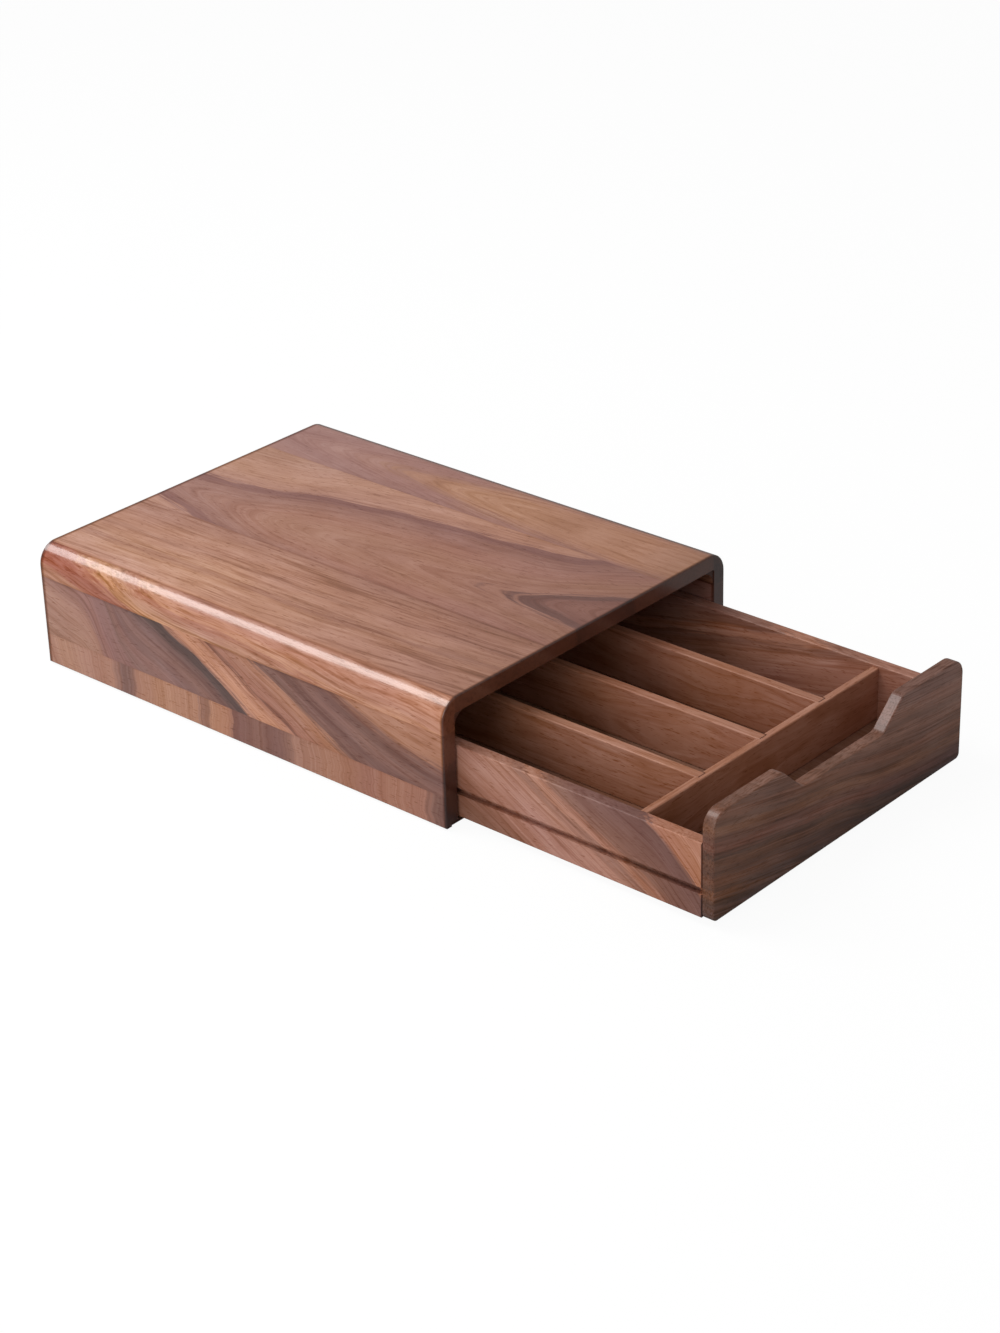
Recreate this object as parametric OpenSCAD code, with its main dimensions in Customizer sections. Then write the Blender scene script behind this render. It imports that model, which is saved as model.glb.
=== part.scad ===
// Coffee pod drawer: a wooden tunnel casing with one pull-out drawer.
// X runs across, -Y is the front, Z is up. The origin is on the surface that the
// casing stands on, under the middle of the casing. The drawer is drawn part open.

/* [Casing] */
// Width of the casing
casing_w = 300; // [260:1:340]
// Depth of the casing, front to back
casing_d = 394; // [340:1:430]
// Height of the casing's boards, without the pads
casing_h = 94; // [90:1:110]
// Thickness of the side boards and top boards
wall_t = 12.5; // [12:0.5:15]
// Radius of the long top corners
corner_r = 16; // [14:0.5:16]
// Height of the upper board of each side
upper_board_h = 24; // [22:1:30]
// Height of the lower board of each side
lower_board_h = 24; // [20:1:28]
// Distance from the middle to the left seam of the top
left_seam = 45; // [30:1:60]
// Distance from the middle to the right seam of the top
right_seam = 82; // [60:1:90]
// Size of the cove strip in each inside corner
cove_r = 10; // [6:1:11]
// Thickness of the back panel
back_t = 8; // [6:0.5:9]
// Thickness of the base panel
base_t = 3; // [2.5:0.5:4]
// How far the back and base panels sit into the boards
panel_rebate = 7; // [6.5:0.5:7]
// Radius of the back panel's upper corners
panel_r = 8; // [6:0.5:10]
// Thickness of the rubber pads
pad_t = 1.5; // [1:0.5:3]
// Diameter of the rubber pads
pad_d = 11; // [9:0.5:12]

/* [Drawer] */
// How far the drawer is drawn out
pull = 212; // [0:1:250]
// Thickness of the front, sides and back
board_t = 9.5; // [9:0.5:11]
// Height of the drawer sides
side_h = 54; // [50:1:58]
// Thickness of the floor panel
floor_t = 4; // [3:0.5:5]
// Height of the floor panel's underside above the sides' lower edge
floor_lift = 9; // [7:0.5:10]
// Depth of the grooves that hold the floor panel
floor_groove = 4; // [3:0.5:4]
// Depth of the sachet bay behind the front
bay_d = 52; // [40:1:60]
// Thickness of the partition behind the bay
partition_t = 6; // [5:0.5:8]
// Thickness of the dividers
divider_t = 8; // [6:0.5:9]
// How far the dividers stop below the sides' upper edge
divider_drop = 2; // [1:0.5:6]
// Depth of the slots that hold partition and dividers
slot_depth = 3; // [2:0.5:3]

/* [Finger notch] */
// Half width of the notch at the top edge
notch_top = 66; // [56:1:72]
// Half width of the notch at its bottom
notch_bottom = 44; // [36:1:50]
// Depth of the notch
notch_depth = 20; // [12:1:24]
// Radius of the notch's corners
notch_r = 7; // [3:0.5:8]
// Radius of the front's upper corners
front_top_r = 12; // [6:0.5:14]
// Radius of the front's lower corners
front_low_r = 4; // [1:0.5:6]

/* [Runners] */
// Height of the groove's lower face above the sides' lower edge
groove_lift = 17; // [16:0.5:20]
// Height of the groove
groove_h = 5; // [4.5:0.5:6]
// Depth of the groove in the drawer side
groove_depth = 4.5; // [4:0.25:5]
// How deep the runner is let into the casing side
runner_seat = 5; // [4:0.5:6]
// Distance from the casing's front edge to the runner
runner_setback = 14; // [12:1:30]

/* [Clearances] */
// Gap between drawer and casing at each side
side_gap = 1; // [0.8:0.1:1.5]
// Gap above and below the drawer front
height_gap = 0.8; // [0.6:0.1:1.2]
// Gap behind the drawer when it is shut
back_gap = 2; // [1.5:0.5:4]
// Gap between the runner and each face of its groove
runner_gap = 0.4; // [0.3:0.1:0.6]
// Glue gap around a dowel
dowel_gap = 0.1; // [0.05:0.05:0.15]

/* [Fasteners] */
// Diameter of the dowels
dowel_d = 5; // [4:0.5:5]
// Dowels along each top corner
corner_dowel_count = 5; // [3:1:8]
// Shank diameter of the back panel's screws
screw_d = 3; // [2.5:0.5:3.5]
// Length of the back panel's screws
screw_l = 22; // [16:1:30]
// Shank diameter of the base panel's pins
pin_d = 1.6; // [1.2:0.2:2]

/* [Edges] */
// Easing radius of the casing's outer edges
casing_ease = 1.2; // [0.5:0.1:2]
// Easing radius of the drawer's boards
board_ease = 1; // [0.5:0.1:2]
// Easing radius of the runners
runner_ease = 0.3; // [0.1:0.1:0.6]
// Chamfer around the casing's mouth
mouth_chamfer = 0.8; // [0.4:0.1:1.2]

/* [Hidden] */
$fn = 96;
eps = 0.5;

// Casing from the pads up
foot_z = pad_t;
top_z = foot_z + casing_h;
half_w = casing_w / 2;
half_d = casing_d / 2;
inner_x = half_w - wall_t;
inner_top = top_z - wall_t;
upper_seam_z = top_z - upper_board_h;
lower_seam_z = foot_z + lower_board_h;
back_y = half_d - back_t;
panel_face_y = half_d - casing_ease;
panel_x = inner_x + panel_rebate;
panel_top = inner_top + panel_rebate;
base_top = foot_z + base_t;

// Drawer in the casing
drawer_z = base_top + height_gap;
front_top = inner_top - height_gap;
drawer_x = inner_x - side_gap;
drawer_in = drawer_x - board_t;
front_y = -half_d - pull;
front_back_y = front_y + board_t;
drawer_len = casing_d - back_t - back_gap;
tail_y = front_y + drawer_len;
tail_in_y = tail_y - board_t;
side_top = drawer_z + side_h;
floor_z = drawer_z + floor_lift;
floor_top = floor_z + floor_t;
divider_top = side_top - divider_drop;
bay_y = front_back_y + bay_d;
lane_y = bay_y + partition_t;
lane_w = (2 * drawer_in - 3 * divider_t) / 4;
divider_pitch = lane_w + divider_t;

// Runners
groove_z = drawer_z + groove_lift;
runner_z = groove_z + runner_gap;
runner_h = groove_h - 2 * runner_gap;
runner_reach = side_gap + groove_depth - runner_gap;
runner_y = -half_d + runner_setback;

// Dowels, screws and pins
dowel_r = dowel_d / 2;
// A dowel's hole is longer than the dowel by this many glue gaps at each end
end_gaps = 5;
corner_dowel_share = 0.64;
corner_dowel_z = top_z - corner_dowel_share * wall_t;
corner_dowel_in = 6;
corner_dowel_out = 16;
corner_dowel_end = 40;
corner_dowel_pitch = (casing_d - 2 * corner_dowel_end) / (corner_dowel_count - 1);
board_dowel_in = 5.5;
board_dowel_out = 16;
board_dowel_shares = [0.57, 0.83];
board_dowel_z = [for (share = board_dowel_shares) drawer_z + share * side_h];
side_mid_x = drawer_x - board_t / 2;
tail_mid_y = tail_y - board_t / 2;
screw_head_r = 0.9 * screw_d;
screw_head_h = 2.2;
screw_x = inner_x + panel_rebate / 2;
screw_top_z = inner_top + panel_rebate / 2;
screw_lift = 14;
screw_side_z = [foot_z + screw_lift, foot_z + casing_h / 2];
screw_spread = 0.6 * half_w;
screw_top_x = [-screw_spread, 0, screw_spread];
cross_recess = [3, 1.6, 0.8];
cross_depth = 0.7;
pin_l = 12;
pin_head_h = 0.6;
pin_x = inner_x + panel_rebate / 2;
pin_count = 6;
pin_end = 30;
pin_pitch = (casing_d - 2 * pin_end) / (pin_count - 1);

// Pads, set in from the outer faces so that they hardly show
pad_inset = [10.5, 22];
pad_x = half_w - pad_inset.x;
pad_y = half_d - pad_inset.y;

// A box from one corner to the opposite one
module block(low, high) {
    translate(low)
        cube(high - low);
}

// A rectangle with round corners, centred on the origin
module round_rect(w, h, r) {
    square([w, h - 2 * r], center = true);
    square([w - 2 * r, h], center = true);
    for (x = [-1, 1])
        for (y = [-1, 1])
            translate([x * (w / 2 - r), y * (h / 2 - r)])
                circle(r = r);
}

// A board with all twelve edges eased, from one corner to the opposite one
module eased_board(low, high, ease) {
    size = high - low;
    translate((low + high) / 2)
        intersection() {
            linear_extrude(size.z, center = true)
                round_rect(size.x, size.y, ease);
            rotate([90, 0, 0])
                linear_extrude(size.y, center = true)
                    round_rect(size.x, size.z, ease);
            rotate([90, 0, 90])
                linear_extrude(size.x, center = true)
                    round_rect(size.y, size.z, ease);
        }
}

// The waste outside an arc that rounds the corner p between edges leaving at two angles
module corner_waste(p, from_a, to_a, r) {
    half_a = (to_a - from_a) / 2;
    mid_a = (to_a + from_a) / 2;
    centre = p + r / sin(half_a) * [cos(mid_a), sin(mid_a)];
    tangent = r / tan(half_a);
    difference() {
        polygon([p, p + tangent * [cos(from_a), sin(from_a)], centre,
                 p + tangent * [cos(to_a), sin(to_a)]]);
        translate(centre)
            circle(r = r);
    }
}

// The casing's outer shape: long top corners round, every outer edge eased
module casing_envelope() {
    long_r = corner_r;
    for (s = [-1, 1])
        translate([s * (half_w - long_r), 0, top_z - long_r])
            rotate([90, 0, 0])
                rotate_extrude()
                    intersection() {
                        round_rect(2 * long_r, casing_d, casing_ease);
                        translate([0, -half_d])
                            square([long_r, casing_d]);
                    }
    translate([0, 0, (foot_z + top_z) / 2])
        rotate([90, 0, 90])
            linear_extrude(casing_w - 2 * long_r, center = true)
                round_rect(casing_d, casing_h, casing_ease);
    intersection() {
        translate([0, 0, foot_z])
            linear_extrude(casing_h - long_r)
                round_rect(casing_w, casing_d, casing_ease);
        translate([0, 0, (foot_z + top_z) / 2])
            rotate([90, 0, 0])
                linear_extrude(casing_d, center = true)
                    round_rect(casing_w, casing_h, casing_ease);
    }
}

// The part of the casing's outer shape inside a box
module casing_slice(low, high) {
    intersection() {
        casing_envelope();
        block(low, high);
    }
}

// The outline of the back panel, from a lower edge up, in X and Z
module back_outline(low) {
    difference() {
        translate([-panel_x, low])
            square([2 * panel_x, panel_top - low]);
        for (m = [0, 1])
            mirror([m, 0])
                corner_waste([panel_x, panel_top], 180, 270, panel_r);
    }
}

// The rebate that the back panel sits in
module back_rebate() {
    translate([0, half_d + eps, 0])
        rotate([90, 0, 0])
            linear_extrude(back_t + eps)
                back_outline(foot_z - eps);
}

// A square bar turned on edge; cutting it from an edge at its centre leaves a chamfer
module chamfer_bar(length) {
    side = mouth_chamfer * sqrt(2);
    rotate([0, 45, 0])
        cube([side, length, side], center = true);
}

// The waste of the chamfer around the casing's mouth
module mouth_waste() {
    translate([0, -half_d, inner_top])
        rotate([0, 0, 90])
            chamfer_bar(2 * inner_x);
    for (s = [-1, 1])
        translate([s * inner_x, -half_d, (foot_z + inner_top) / 2])
            rotate([90, 0, 0])
                chamfer_bar(inner_top - foot_z);
}

// A dowel along +X from its centre line's start; grow widens it into its hole
module dowel(length, grow = 0) {
    rotate([0, 90, 0])
        cylinder(r = dowel_r + grow, h = length);
}

// All dowels of the long top corners, s = -1 left and 1 right
module corner_dowel_row(s, grow = 0) {
    for (i = [0 : corner_dowel_count - 1])
        translate([s * inner_x, -half_d + corner_dowel_end + i * corner_dowel_pitch,
                   corner_dowel_z])
            rotate([0, 0, s > 0 ? 0 : 180])
                translate([-corner_dowel_out - end_gaps * grow, 0, 0])
                    dowel(corner_dowel_out + corner_dowel_in + 2 * end_gaps * grow, grow);
}

// Where the screws of the back panel stand, seen from behind
function screw_places() = concat(
    [for (s = [-1, 1]) for (z = screw_side_z) [s * screw_x, z]],
    [for (x = screw_top_x) [x, screw_top_z]]);

// One countersunk screw with its head flush at y = 0, pointing to -Y
module back_screw(grow = 0) {
    rotate([90, 0, 0]) {
        cylinder(r1 = screw_head_r + grow, r2 = screw_d / 2 + grow, h = screw_head_h);
        cylinder(r = screw_d / 2 + grow, h = screw_l + grow);
    }
}

module back_screw_group(grow = 0) {
    for (p = screw_places())
        translate([p.x, panel_face_y, p.y])
            back_screw(grow);
}

// One flat-headed pin, head down at z = 0
module base_pin(grow = 0) {
    translate([0, 0, -grow])
        cylinder(r = pin_d, h = pin_head_h + grow);
    cylinder(r = pin_d / 2, h = pin_l);
}

module base_pin_group(grow = 0) {
    for (s = [-1, 1])
        for (i = [0 : pin_count - 1])
            translate([s * pin_x, -half_d + pin_end + i * pin_pitch, foot_z])
                base_pin(grow);
}

// A flat board of a side, with rebates for the panels and its share of the runner's seat
module side_board(s, low, high) {
    difference() {
        casing_slice([s > 0 ? inner_x : -half_w, -half_d, low],
                     [s > 0 ? half_w : -inner_x, half_d, high]);
        back_rebate();
        block([-panel_x, -half_d - eps, foot_z - eps], [panel_x, half_d + eps, base_top]);
        block([-inner_x - runner_seat, runner_y, runner_z],
              [inner_x + runner_seat, back_y, runner_z + runner_h]);
        back_screw_group();
        base_pin_group();
        mouth_waste();
    }
}

// An upper side board, which carries the round corner
module upper_board(s) {
    difference() {
        casing_slice([s > 0 ? inner_x : -half_w, -half_d, upper_seam_z],
                     [s > 0 ? half_w : -inner_x, half_d, top_z]);
        back_rebate();
        corner_dowel_row(s, dowel_gap);
        mouth_waste();
    }
}

// One board of the top, between two seams
module top_board(x0, x1) {
    difference() {
        casing_slice([x0, -half_d, inner_top], [x1, half_d, top_z]);
        back_rebate();
        corner_dowel_row(-1, dowel_gap);
        corner_dowel_row(1, dowel_gap);
        back_screw_group();
        mouth_waste();
    }
}

// The hollow strip in an inside corner of the casing
module cove_strip(s) {
    translate([s * inner_x, back_y, inner_top])
        rotate([90, 0, 0])
            linear_extrude(casing_d - back_t - mouth_chamfer)
                difference() {
                    translate([s > 0 ? -cove_r : 0, -cove_r])
                        square(cove_r);
                    translate([-s * cove_r, -cove_r])
                        circle(r = cove_r);
                }
}

module left_lower_board() {
    color("#a8785f")
        side_board(-1, foot_z, lower_seam_z);
}

module left_middle_board() {
    color("#8c5a41")
        side_board(-1, lower_seam_z, upper_seam_z);
}

module left_upper_board() {
    color("#b0704c")
        upper_board(-1);
}

module right_lower_board() {
    color("#a8785f")
        side_board(1, foot_z, lower_seam_z);
}

module right_middle_board() {
    color("#8c5a41")
        side_board(1, lower_seam_z, upper_seam_z);
}

module right_upper_board() {
    color("#b0704c")
        upper_board(1);
}

module top_left_board() {
    color("#a87960")
        top_board(-inner_x, -left_seam);
}

module top_centre_board() {
    color("#98695a")
        top_board(-left_seam, right_seam);
}

module top_right_board() {
    color("#a9775b")
        top_board(right_seam, inner_x);
}

module left_cove_strip() {
    color("#6a4030")
        cove_strip(-1);
}

module right_cove_strip() {
    color("#6a4030")
        cove_strip(1);
}

module back_panel() {
    color("#7d513c")
        difference() {
            translate([0, panel_face_y, 0])
                rotate([90, 0, 0])
                    linear_extrude(panel_face_y - back_y)
                        back_outline(foot_z);
            back_screw_group();
        }
}

module base_panel() {
    color("#8a6148")
        difference() {
            block([-panel_x, -half_d + casing_ease, foot_z], [panel_x, back_y, base_top]);
            base_pin_group();
        }
}

// A runner strip: seated in the casing side, it stands into the drawer's groove
module runner(s) {
    eased_board([s > 0 ? inner_x - runner_reach : -inner_x - runner_seat, runner_y, runner_z],
                [s > 0 ? inner_x + runner_seat : -inner_x + runner_reach, back_y,
                 runner_z + runner_h], runner_ease);
}

module left_runner() {
    color("#c69a6a")
        runner(-1);
}

module right_runner() {
    color("#c69a6a")
        runner(1);
}

module corner_dowels() {
    color("#d9b98a") {
        corner_dowel_row(-1);
        corner_dowel_row(1);
    }
}

module back_screws() {
    color("#b8b8b8")
        difference() {
            back_screw_group();
            for (p = screw_places())
                translate([p.x, panel_face_y - cross_depth, p.y])
                    for (a = [0, 90])
                        rotate([0, a, 0])
                            cube(cross_recess, center = true);
        }
}

module base_pins() {
    color("#b8b8b8")
        base_pin_group();
}

module rubber_pads() {
    color("#2b2b2b")
        for (x = [-pad_x, pad_x])
            for (y = [-pad_y, pad_y])
                translate([x, y, 0])
                    cylinder(d = pad_d, h = pad_t);
}

// The outline of the drawer front, with the finger notch in its top edge
module front_outline() {
    low = drawer_z;
    dip = front_top - notch_depth;
    slope = atan2(notch_depth, notch_top - notch_bottom);
    difference() {
        polygon([[-drawer_x, low], [drawer_x, low], [drawer_x, front_top],
                 [notch_top, front_top], [notch_bottom, dip], [-notch_bottom, dip],
                 [-notch_top, front_top], [-drawer_x, front_top]]);
        for (m = [0, 1])
            mirror([m, 0]) {
                corner_waste([drawer_x, front_top], 180, 270, front_top_r);
                corner_waste([drawer_x, low], 90, 180, front_low_r);
                corner_waste([notch_top, front_top], -180 + slope, 0, notch_r);
            }
    }
    for (m = [0, 1])
        mirror([m, 0])
            corner_waste([notch_bottom, dip], slope, 180, notch_r);
}

// A dowel of a front corner, along +Y from the blind end in the front
module front_dowel_group(grow = 0) {
    for (x = [-side_mid_x, side_mid_x])
        for (z = board_dowel_z)
            translate([x, front_back_y - board_dowel_in - end_gaps * grow, z])
                rotate([0, 0, 90])
                    dowel(board_dowel_in + board_dowel_out + 2 * end_gaps * grow, grow);
}

// The dowels between the sides and the back of the drawer
module tail_dowel_group(grow = 0) {
    for (s = [-1, 1])
        for (z = board_dowel_z)
            translate([s * drawer_in, tail_mid_y, z])
                rotate([0, 0, s > 0 ? 0 : 180])
                    translate([-board_dowel_out - end_gaps * grow, 0, 0])
                        dowel(board_dowel_in + board_dowel_out + 2 * end_gaps * grow, grow);
}

// The space of the floor panel with its tongues
module floor_space() {
    reach = drawer_in + floor_groove;
    block([-reach, front_back_y - floor_groove, floor_z],
          [reach, tail_in_y + floor_groove, floor_top]);
}

// The bay partition with its tongues; without easing it is the space that it fills
module partition_board(ease = 0) {
    reach = drawer_in + slot_depth;
    low = [-reach, bay_y, floor_top];
    high = [reach, lane_y, divider_top];
    if (ease > 0)
        eased_board(low, high, ease);
    else
        block(low, high);
}

// One divider with its tongues, i = -1, 0 or 1; without easing it is its space
module divider_board(i, ease = 0) {
    low = [i * divider_pitch - divider_t / 2, lane_y - slot_depth, floor_top];
    high = [i * divider_pitch + divider_t / 2, tail_in_y + slot_depth, divider_top];
    if (ease > 0)
        eased_board(low, high, ease);
    else
        block(low, high);
}

module drawer_front() {
    color("#70493a")
        difference() {
            translate([0, front_back_y, 0])
                rotate([90, 0, 0])
                    linear_extrude(board_t)
                        front_outline();
            front_dowel_group(dowel_gap);
            floor_space();
        }
}

// A drawer side: runner groove outside, floor groove and partition slot inside
module drawer_side(s) {
    difference() {
        eased_board([s > 0 ? drawer_in : -drawer_x, front_back_y, drawer_z],
                    [s > 0 ? drawer_x : -drawer_in, tail_y, side_top], board_ease);
        for (m = [-1, 1])
            block([m > 0 ? drawer_x - groove_depth : -drawer_x - eps, front_back_y - eps,
                   groove_z],
                  [m > 0 ? drawer_x + eps : -drawer_x + groove_depth, tail_y + eps,
                   groove_z + groove_h]);
        floor_space();
        partition_board();
        front_dowel_group(dowel_gap);
        tail_dowel_group(dowel_gap);
    }
}

module drawer_left_side() {
    color("#a8694b")
        drawer_side(-1);
}

module drawer_right_side() {
    color("#a8694b")
        drawer_side(1);
}

module drawer_back() {
    color("#9a6248")
        difference() {
            eased_board([-drawer_in, tail_in_y, drawer_z], [drawer_in, tail_y, side_top],
                        board_ease);
            floor_space();
            for (i = [-1 : 1])
                divider_board(i);
            tail_dowel_group(dowel_gap);
        }
}

module drawer_floor() {
    color("#8a5c45")
        floor_space();
}

module bay_partition() {
    color("#a86c4d")
        difference() {
            partition_board(board_ease);
            for (i = [-1 : 1])
                divider_board(i);
        }
}

module left_divider() {
    color("#b0704e")
        divider_board(-1, board_ease);
}

module middle_divider() {
    color("#b0704e")
        divider_board(0, board_ease);
}

module right_divider() {
    color("#b0704e")
        divider_board(1, board_ease);
}

module front_dowels() {
    color("#d9b98a")
        front_dowel_group();
}

module tail_dowels() {
    color("#d9b98a")
        tail_dowel_group();
}

left_lower_board();
left_middle_board();
left_upper_board();
right_lower_board();
right_middle_board();
right_upper_board();
top_left_board();
top_centre_board();
top_right_board();
left_cove_strip();
right_cove_strip();
back_panel();
base_panel();
left_runner();
right_runner();
corner_dowels();
back_screws();
base_pins();
rubber_pads();
drawer_front();
drawer_left_side();
drawer_right_side();
drawer_back();
drawer_floor();
left_divider();
middle_divider();
right_divider();
bay_partition();
front_dowels();
tail_dowels();
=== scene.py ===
# %% [markdown]
# # Coffee pod drawer
# A wooden tunnel stands on a worktop, and one drawer slides out of its front. Every board already
# exists as a solid in the frame, at its real size and place. This lesson gives each board the wood
# that it is sawn from, models the drawer front with its eased edges, and sets up camera, floor and
# light.

import math

import bmesh
import bpy
from mathutils import Matrix, Vector


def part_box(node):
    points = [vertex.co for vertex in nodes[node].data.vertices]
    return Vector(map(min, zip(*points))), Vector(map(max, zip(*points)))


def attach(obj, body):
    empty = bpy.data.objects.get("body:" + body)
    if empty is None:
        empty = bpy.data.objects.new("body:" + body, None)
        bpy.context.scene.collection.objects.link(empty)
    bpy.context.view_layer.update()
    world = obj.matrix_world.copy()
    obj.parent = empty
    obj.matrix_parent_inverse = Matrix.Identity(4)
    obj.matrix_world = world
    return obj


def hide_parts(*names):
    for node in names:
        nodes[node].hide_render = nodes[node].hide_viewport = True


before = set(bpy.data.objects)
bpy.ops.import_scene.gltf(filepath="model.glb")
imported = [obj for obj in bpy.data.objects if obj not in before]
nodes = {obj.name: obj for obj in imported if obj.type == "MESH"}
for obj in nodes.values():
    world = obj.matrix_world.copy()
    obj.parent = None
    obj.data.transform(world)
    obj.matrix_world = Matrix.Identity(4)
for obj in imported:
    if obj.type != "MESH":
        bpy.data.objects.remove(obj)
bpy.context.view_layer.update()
MM = 0.001
print("nodes in the frame:", len(nodes))

# %% [markdown]
# ## Reading sizes off the frame
# The frame tells where every board is. Places that this script needs are read from those boxes, so
# a pattern or a new piece always lands on the board that it belongs to. Wood is measured in
# millimetres here, as a joiner does.

# %% Places, in millimetres
front_low, front_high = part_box("drawer_front")
case_low, case_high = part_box("left_middle_board")
top_low, top_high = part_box("top_centre_board")
TOP_FACE = top_high.z / MM
OUTER_X = -case_low.x / MM
INNER_X = -case_high.x / MM
LOWER_SEAM = case_low.z / MM
UPPER_SEAM = case_high.z / MM
LEFT_SEAM = top_low.x / MM
RIGHT_SEAM = top_high.x / MM
FRONT_END = case_low.y / MM
BACK_END = case_high.y / MM
# The axes, in the order in which a vector is taken apart
X, Y, Z = 0, 1, 2
print("seams of the top at", round(LEFT_SEAM, 1), "and", round(RIGHT_SEAM, 1))
print("seams of the side at", round(LOWER_SEAM, 1), "and", round(UPPER_SEAM, 1))
print("the casing runs from", round(FRONT_END, 1), "to", round(BACK_END, 1))


# %% [markdown]
# ## Colours
# Colours are written as sRGB hex values, as a screen shows them. The renderer mixes light in linear
# values, so one function turns one into the other.

# %% Colour helper
def linear(code):
    """An sRGB hex colour as linear red, green, blue and alpha."""
    parts = [int(code[i : i + 2], 16) / 255 for i in (1, 3, 5)]
    parts = [c / 12.92 if c <= 0.04045 else ((c + 0.055) / 1.055) ** 2.4 for c in parts]
    return (*parts, 1.0)


# %% [markdown]
# ## A helper for shader nodes
# A material is a graph of nodes. This helper adds one node. Values fill its inputs in order, and
# names set either a property or an input. Where a value is itself a node, the two are linked. A
# ramp's colours come as stops, each with its place from 0 to 1. The rest then reads as a recipe.

# %% Node helper
def add(tree, kind, *values, stops=(), **settings):
    """Adds a shader node; values fill its inputs in order, settings are properties or inputs by name."""
    node = tree.nodes.new("ShaderNode" + kind)
    for key in [key for key in settings if hasattr(node, key)]:
        setattr(node, key, settings.pop(key))
    fills = list(zip(node.inputs, values))
    fills += [(node.inputs[key.replace("_", " ")], value) for key, value in settings.items()]
    for socket, value in fills:
        if isinstance(value, bpy.types.Node):
            value = value.outputs[0]
        if isinstance(value, bpy.types.NodeSocket):
            tree.links.new(value, socket)
        else:
            socket.default_value = value
    for i, (place, colour) in enumerate(stops):
        # A ramp comes with two stops, which become the first and the last
        elements = node.color_ramp.elements
        inner = 0 < i < len(stops) - 1
        element = elements.new(place) if inner else elements[-1 if i else 0]
        element.position, element.color = place, colour
    return node


def start_material(name):
    """An empty material with a Principled shader: the material, its tree and the shader."""
    material = bpy.data.materials.new(name)
    material.use_nodes = True
    tree = material.node_tree
    tree.nodes.clear()
    shader = add(tree, "BsdfPrincipled")
    add(tree, "OutputMaterial", shader)
    return material, tree, shader


# %% [markdown]
# ## How wood gets its figure
# A trunk grows one layer a year round its pith. A saw cuts flat through those round layers, and the
# face of the board shows where they meet it: straight lines far from the pith, tall arches near it.
# So the pattern is worked out in the tree. Each point's distance from the pith gives its layer, and
# the layer gives its colour. The pattern is solid, so the end of a board shows end grain by itself.
#
# First, a board's own directions are turned to the trunk's: across the layers, through the board,
# and along the trunk. The trunk of a top board lies along Y, and its layers follow one another in
# X. On a side board they follow one another in Z. The trunk of the drawer front lies along X.

# %% Turns and pattern sizes
QUARTER = math.pi / 2
TOP_TURN = (QUARTER, 0, 0)
# The arches of the middle top board lean a little to one side
TOP_LEANING = (QUARTER, 0.06, 0)
SIDE_TURN = (QUARTER, 0, QUARTER)
FRONT_TURN = (0, QUARTER, 0)

# Wood pattern sizes in millimetres: wide across the trunk, long along it
BEND = (60, 240)
WIGGLE = (12, 70)
CLOUD = (40, 80)
MOTTLE = (9, 26)
# A growth line is strong for a stretch and then fades
FADE = (26, 150)
# Colour creeps along single fibres, so bands fray at their edges. The noise spans about 0.4, so 16 mm of it
# move an edge by 3 mm either way.
FEATHER = (1.8, 38)
FRAY = 16.0
# Real fibres are 0.1 mm wide and pores 0.2 mm: both are drawn coarser, so that they show
FIBRE = (1.0, 45)
PORE = (0.8, 7)
print("fibres are drawn", FIBRE[0], "mm wide and pores", PORE[0], "mm")


# %% [markdown]
# ## Noise that follows the trunk
# Nearly every mark in wood is long along the trunk and narrow across it. One small recipe squeezes
# a noise texture that way, and a seed moves it to a fresh place, so that no two boards are alike.

# %% Stretched noise
def grown(tree, space, size, seed, detail=2.0):
    """Noise of a size (wide, long) in mm in the trunk's directions, from about 0.3 to 0.7."""
    wide, long = size
    squeeze = (1 / wide, 1 / wide, 1 / long)
    fresh_place = (seed * 7.3, seed * 3.1, seed * 5.7)
    stretched = add(tree, "Mapping", space, Scale=squeeze, Location=fresh_place)
    return add(tree, "TexNoise", stretched, Scale=1.0, Detail=detail, Roughness=0.55)


# %% [markdown]
# ## The layers
# The distance from the pith gives the arches. No trunk is a straight cylinder, so two drawn curves,
# listed point by point, bend it over its length. One, the climb, lifts the layers where the trunk
# tapers or a branch pushed them aside: this is how the bold diagonal figure of the side comes about.
# The other, the sway, moves the pith sideways, so that an arch leans. Two noises, a slow bend and a
# small wiggle, take the ruler out of the lines.

# %% Layers of a board
# A curve that stays at nought
STRAIGHT = ((-500, 0), (500, 0))


def drawn_curve(tree, along, marks):
    """A smooth curve drawn through listed marks over a length; marks holds (mm along it, value)."""
    alongs, rises = zip(*sorted(marks))
    share = add(tree, "MapRange", along, alongs[0], alongs[-1])
    curve = add(tree, "FloatCurve", Value=share)
    points = curve.mapping.curves[0].points
    # A level curve has no spread to divide by
    spread = max(rises) - min(rises) or 1
    for i, (mark, rise) in enumerate(zip(alongs, rises)):
        spot = ((mark - alongs[0]) / (alongs[-1] - alongs[0]), (rise - min(rises)) / spread)
        # A curve comes with two points, which become the first and the last
        inner = 0 < i < len(marks) - 1
        point = points.new(*spot) if inner else points[-1 if i else 0]
        point.location = spot
    curve.mapping.update()
    return add(tree, "Math", curve, spread, min(rises), operation="MULTIPLY_ADD")


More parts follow.
